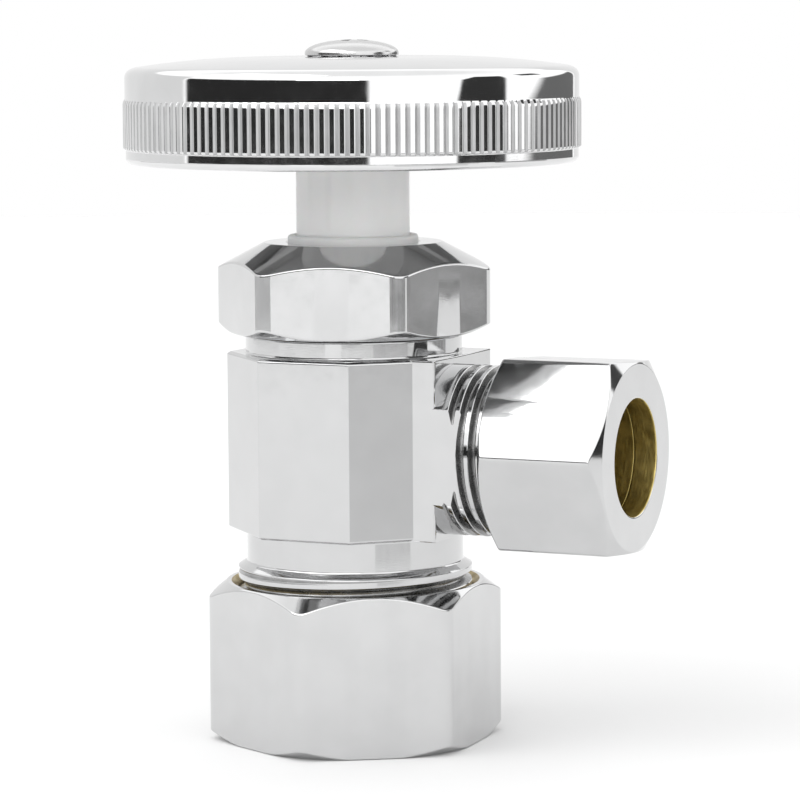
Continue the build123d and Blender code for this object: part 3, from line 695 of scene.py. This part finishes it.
def screw_profile(angle, _):
    return (
        [(0, screw_tip, 0, 0), (1.68, screw_tip, 0, 0), (shank_r, screw_tip + shank_chamfer, 0, 0)]
        + thread_rows(angle, shank_r, shank_thread_depth, shank_pitch, screw_tip,
                      screw_tip + shank_chamfer, shank_thread_top, 0)
        + [(shank_r, washer_top, 0, 0), (head_r, washer_top, 0.05, 0)]
        + [(r, z, 0, 0) for r, z in dome] + [(0, head_top, 0, 0)]
    )


screw = shaped("screw_head", UPRIGHT, round_plan(96), screw_profile, closed=False)
slot_long, slot_wide, slot_depth, slot_taper = 3.6, 0.8, 1.1, 0.72
cutter_tall = 2.4
for wide, deep in ((slot_long, slot_wide), (slot_wide, slot_long)):
    cutter = box_cutter("cutter", (wide, deep, cutter_tall), (0, 0, head_top - slot_depth + cutter_tall / 2),
                        slot_taper)
    screw = boolean(screw, cutter, "DIFFERENCE")
place(screw, "stem_and_handle", "handle_screw", [chrome_screw])


washer_bottom = node_bottom("lock_washer")
washer_hole_r, washer_root_r, washer_tooth, WASHER_TEETH = 2.18, 3.18, 0.55, 12


def washer_profile(angle, _):
    tooth = 0.5 + 0.5 * math.cos(WASHER_TEETH * angle)
    outer = washer_root_r + washer_tooth * min(1.0, max(0.0, (tooth - 0.25) / 0.3))
    return [(washer_hole_r, washer_bottom, 0.03, 0), (outer, washer_bottom, 0.04, 0),
            (outer, washer_top, 0.04, 0), (washer_hole_r, washer_top, 0.03, 0)]


washer = shaped("toothed_washer", UPRIGHT, round_plan(240), washer_profile)
place(washer, "stem_and_handle", "lock_washer", [steel])


# ---- compression nuts and sleeves -------------------------------------------------------------------
def nut_profile(end):
    relief_r = end.sleeve_r + 0.3
    seat_start_r = end.sleeve_r - end.taper + GAP
    cone_top = end.floor + (relief_r - seat_start_r) / SEAT_SLOPE
    slope, low_slope = math.tan(math.radians(end.slope)), math.tan(math.radians(30))
    bore_r = end.thread_r + GAP
    countersink = 0.6 * (end.face_r - bore_r)

    def profile(_, reach):
        mouth = min(end.mouth_r, reach - 0.12)
        rise = max(0.08, (reach - end.mouth_r) * low_slope)
        face = min(end.face_r, reach - 0.12)
        drop = max(0.1, (reach - end.face_r) * slope)
        return [
            (end.bore_r, 0, 0.15, OUTSIDE), (mouth, 0, 0.1, OUTSIDE), (reach, rise, 0.14, OUTSIDE),
            (reach, end.length - drop, 0.18, OUTSIDE), (face, end.length, 0.18, OUTSIDE),
            (bore_r + countersink, end.length, 0.05, INSIDE),
            (bore_r, end.length - countersink, 0.05, INSIDE), (bore_r, end.mouth - 0.9, 0, INSIDE),
            (relief_r, end.mouth - 1.6, 0, INSIDE), (relief_r, cone_top, 0, INSIDE),
            (seat_start_r, end.floor, 0, INSIDE), (end.bore_r, end.floor, 0.05, INSIDE)]

    return profile


def sleeve_corners(end):
    run = end.taper / SEAT_SLOPE
    waist = end.sleeve_r - end.taper
    return [(end.bore_r, end.sleeve_start, 0.05, 0), (waist, end.sleeve_start, 0.05, 0),
            (end.sleeve_r, end.sleeve_start + run, 0.2, 0), (end.sleeve_r, end.sleeve_end - run, 0.2, 0),
            (waist, end.sleeve_end, 0.05, 0), (end.bore_r, end.sleeve_end, 0.05, 0)]


for name, end, inside in (("inlet", inlet, brass_inside), ("outlet", outlet, brass_outlet)):
    plan = hexagon(end.flats, end.corner, 30 + end.turn)
    nut = shaped(f"{name}_hexagon", end.axes, plan, nut_profile(end))
    place(nut, f"{name}_nut", f"{name}_nut", [chrome_nut, inside])
    sleeve = turned(f"{name}_sleeve", end.axes, sleeve_corners(end))
    place(sleeve, f"{name}_ferrule", f"{name}_ferrule", [inside])

# ---- the CAD nodes that stay ------------------------------------------------------------------------
for row in frame["record"]["subparts"]:
    node = frame["nodes"][row["node"]]
    if node.hide_render:
        continue
    for index in range(len(node.material_slots)):
        node.material_slots[index].material = PLAIN[row["material_slot"]]


# ---- studio -----------------------------------------------------------------------------------------
# lengths from here on are metres
FLOOR_R, FLOOR_SIDES = 0.8, 96
floor_z = cad_box[0].z - 0.00002
floor_mesh = bpy.data.meshes.new("floor")
ring = [(FLOOR_R * math.cos(a), FLOOR_R * math.sin(a), floor_z) for a in round_angles(FLOOR_SIDES)[:-1]]
floor_mesh.from_pydata(ring, [], [tuple(range(FLOOR_SIDES))])
floor = bpy.data.objects.new("floor", floor_mesh)
bpy.context.scene.collection.objects.link(floor)
floor_paint = bpy.data.materials.new("floor_paint")
floor_paint.use_nodes = True
tree = floor_paint.node_tree
paper = tree.nodes["Principled BSDF"]
paper.inputs["Base Color"].default_value = (0.75, 0.75, 0.75, 1)
paper.inputs["Roughness"].default_value = 0.9
# the floor is see-through from below, so that the underside can be looked at
clear = tree.nodes.new("ShaderNodeBsdfTransparent")
choose = tree.nodes.new("ShaderNodeMixShader")
facing = tree.nodes.new("ShaderNodeNewGeometry")
tree.links.new(facing.outputs["Backfacing"], choose.inputs["Fac"])
tree.links.new(paper.outputs["BSDF"], choose.inputs[1])
tree.links.new(clear.outputs["BSDF"], choose.inputs[2])
tree.links.new(choose.outputs["Shader"], tree.nodes["Material Output"].inputs["Surface"])
floor_mesh.materials.append(floor_paint)

# camera: the photograph's viewing angle
view_azimuth, camera_height, camera_distance = math.radians(25.23), 0.06131, 0.30364
camera_roll = math.radians(-0.35)
camera_data = bpy.data.cameras.new("camera")
camera_data.sensor_width = 36
camera_data.lens = 162.55
camera_data.clip_start = 0.01
camera_data.clip_end = 50
camera = bpy.data.objects.new("camera", camera_data)
bpy.context.scene.collection.objects.link(camera)
eye = Vector((camera_distance * math.sin(view_azimuth), -camera_distance * math.cos(view_azimuth),
              camera_height))
target = Vector((0.0032, 0, 0.0296))
forward = (target - eye).normalized()
right = forward.cross(Vector((0, 0, 1))).normalized()
up = right.cross(forward)
framing_right, framing_down = 0.00095, 0.00082
aim = target + right * framing_right - up * framing_down
look = (aim - eye).to_track_quat("-Z", "Y").to_matrix().to_4x4()
camera.matrix_world = Matrix.Translation(eye) @ look @ Matrix.Rotation(camera_roll, 4, "Z")
bpy.context.scene.camera = camera

# surroundings: a bright room whose walls are dark in a few bands, as round a shooting table
world = bpy.data.worlds.new("room")
bpy.context.scene.world = world
world.use_nodes = True
tree = world.node_tree
tree.nodes.clear()


def math_node(kind, first, second=None, clamp=False):
    node = tree.nodes.new("ShaderNodeMath")
    node.operation = kind
    node.use_clamp = clamp
    for index, value in enumerate((first, second)):
        if value is None:
            continue
        if isinstance(value, (int, float)):
            node.inputs[index].default_value = value
        else:
            tree.links.new(value, node.inputs[index])
    return node.outputs[0]


room = tree.nodes.new("ShaderNodeTexCoord")
split = tree.nodes.new("ShaderNodeSeparateXYZ")
tree.links.new(room.outputs["Generated"], split.inputs[0])
level = math_node("SQRT", math_node("ADD", math_node("MULTIPLY", split.outputs[0], split.outputs[0]),
                                    math_node("MULTIPLY", split.outputs[1], split.outputs[1])))
height = math_node("DIVIDE", split.outputs[2], level)
bearing = math_node("ARCTAN2", split.outputs[1], split.outputs[0])
front = -math.pi / 2 + view_azimuth         # bearing of the camera from the valve


WALL_EDGE = math.radians(2)


def band(start, end, low, high_start, high_end, ramp):
    """1 inside a patch of wall: bearings in degrees to the right of the camera, heights as slopes.
    Its top runs from high_start to high_end over the first part (ramp) of its width."""
    middle = front + math.radians((start + end) / 2)
    half = math.radians((end - start) / 2)
    away = math_node("SUBTRACT", bearing, middle)
    away = math_node("ARCTAN2", math_node("SINE", away), math_node("COSINE", away))
    inside = math_node("DIVIDE", math_node("SUBTRACT", half, math_node("ABSOLUTE", away)), WALL_EDGE, True)
    along = math_node("DIVIDE", math_node("ADD", away, half), 2 * half * ramp, True)
    high = math_node("ADD", math_node("MULTIPLY", along, high_end - high_start), high_start)
    above = math_node("DIVIDE", math_node("SUBTRACT", height, low), 0.02, True)
    below = math_node("DIVIDE", math_node("SUBTRACT", high, height), 0.06, True)
    return math_node("MULTIPLY", inside, math_node("MULTIPLY", above, below))


# bearing from, to, lowest slope, highest slope at the start and further along, share of the width
# that this takes, darkness
WALLS = ((-92, 9, -0.10, 0.30, 0.14, 1.0, 0.98), (52, 84, -0.10, -0.06, 0.45, 0.45, 0.97),
         (92, 151, -0.10, -0.06, 0.30, 0.9, 0.88), (151, 268, -0.30, 0.60, 0.60, 1.0, 0.38),
         (97, 117, 0.34, 0.62, 0.62, 1.0, 0.95))
light_left = None
for *patch, dark in WALLS:
    remaining = math_node("SUBTRACT", 1.0, math_node("MULTIPLY", band(*patch), dark))
    light_left = remaining if light_left is None else math_node("MULTIPLY", light_left, remaining)
# the ceiling is a little dimmer than the upper walls
ROOM_LIGHT, CEILING_LOSS, CEILING_SLOPE = 1.5, 0.35, 0.7
overhead = math_node("DIVIDE", math_node("SUBTRACT", height, CEILING_SLOPE), 1.0, True)
room_light = math_node("SUBTRACT", ROOM_LIGHT, math_node("MULTIPLY", overhead, CEILING_LOSS))
strength = math_node("MULTIPLY", room_light, light_left)
# the camera itself sees plain white past the floor's edge
seen = tree.nodes.new("ShaderNodeLightPath")
mix = tree.nodes.new("ShaderNodeMix")
tree.links.new(seen.outputs["Is Camera Ray"], mix.inputs[0])
tree.links.new(strength, mix.inputs[2])
mix.inputs[3].default_value = 1.0
background = tree.nodes.new("ShaderNodeBackground")
background.inputs["Color"].default_value = (1, 1, 1, 1)
tree.links.new(mix.outputs[0], background.inputs["Strength"])
output = tree.nodes.new("ShaderNodeOutputWorld")
tree.links.new(background.outputs[0], output.inputs["Surface"])


def soft_light(name, power, size, bearing_deg, elevation_deg, distance):
    """A square soft box, placed by its bearing to the right of the camera, facing the valve."""
    data = bpy.data.lights.new(name, "AREA")
    data.energy = power
    data.size = size
    lamp = bpy.data.objects.new(name, data)
    bpy.context.scene.collection.objects.link(lamp)
    a, e = front + math.radians(bearing_deg), math.radians(elevation_deg)
    middle = Vector((0, 0, 0.03))
    direction = Vector((math.cos(a) * math.cos(e), math.sin(a) * math.cos(e), math.sin(e)))
    lamp.location = middle + direction * distance
    lamp.rotation_euler = (middle - lamp.location).to_track_quat("-Z", "Y").to_euler()


soft_light("side_box", power=2.4, size=0.7, bearing_deg=-66, elevation_deg=50, distance=0.9)
soft_light("front_box", power=1.2, size=0.5, bearing_deg=-12, elevation_deg=24, distance=0.9)


# low mottled grey cards on the table, seen only in reflections
def card_material(name, dark, light):
    material, card_tree, card_shader, coords = new_material(name)
    mottle = noise(card_tree, coords, 90, 6, (1, 1, 4))
    card_tree.links.new(tint(card_tree, mottle, dark, light), card_shader.inputs["Base Color"])
    card_shader.inputs["Roughness"].default_value = 0.9
    return material


card_paint = card_material("card_paint", (0.14, 0.14, 0.14), (0.50, 0.50, 0.50))
card_pale = card_material("card_pale", (0.52, 0.52, 0.52), (0.58, 0.58, 0.58))
# name, material, bearing from and to, nearest and farthest distance, lowest and highest point
CARDS = (("card_right", card_paint, 74, 113, 0.33, 0.33, 0.0, 0.034),
         ("card_front", card_paint, -14, 64, 0.33, 0.33, 0.0056, 0.020),
         ("card_left", card_pale, -133, -30, 0.33, 0.33, 0.0056, 0.020),
         ("card_table", card_pale, 20, 58, 0.11, 0.45, 0.0002, 0.0002))
CARD_STEPS = 12
for name, paint, start, end, near, far, low, high in CARDS:
    bearings = [front + math.radians(start + (end - start) * i / CARD_STEPS) for i in range(CARD_STEPS + 1)]
    mesh = bpy.data.meshes.new(name)
    mesh.from_pydata([(distance * math.cos(a), distance * math.sin(a), z)
                      for distance, z in ((near, low), (far, high)) for a in bearings], [],
                     [(i, i + 1, i + CARD_STEPS + 2, i + CARD_STEPS + 1) for i in range(CARD_STEPS)])
    mesh.materials.append(paint)
    card = bpy.data.objects.new(name, mesh)
    bpy.context.scene.collection.objects.link(card)
    card.visible_camera = False
    card.visible_diffuse = False
    card.visible_shadow = False

bpy.context.scene.view_settings.view_transform = "Standard"
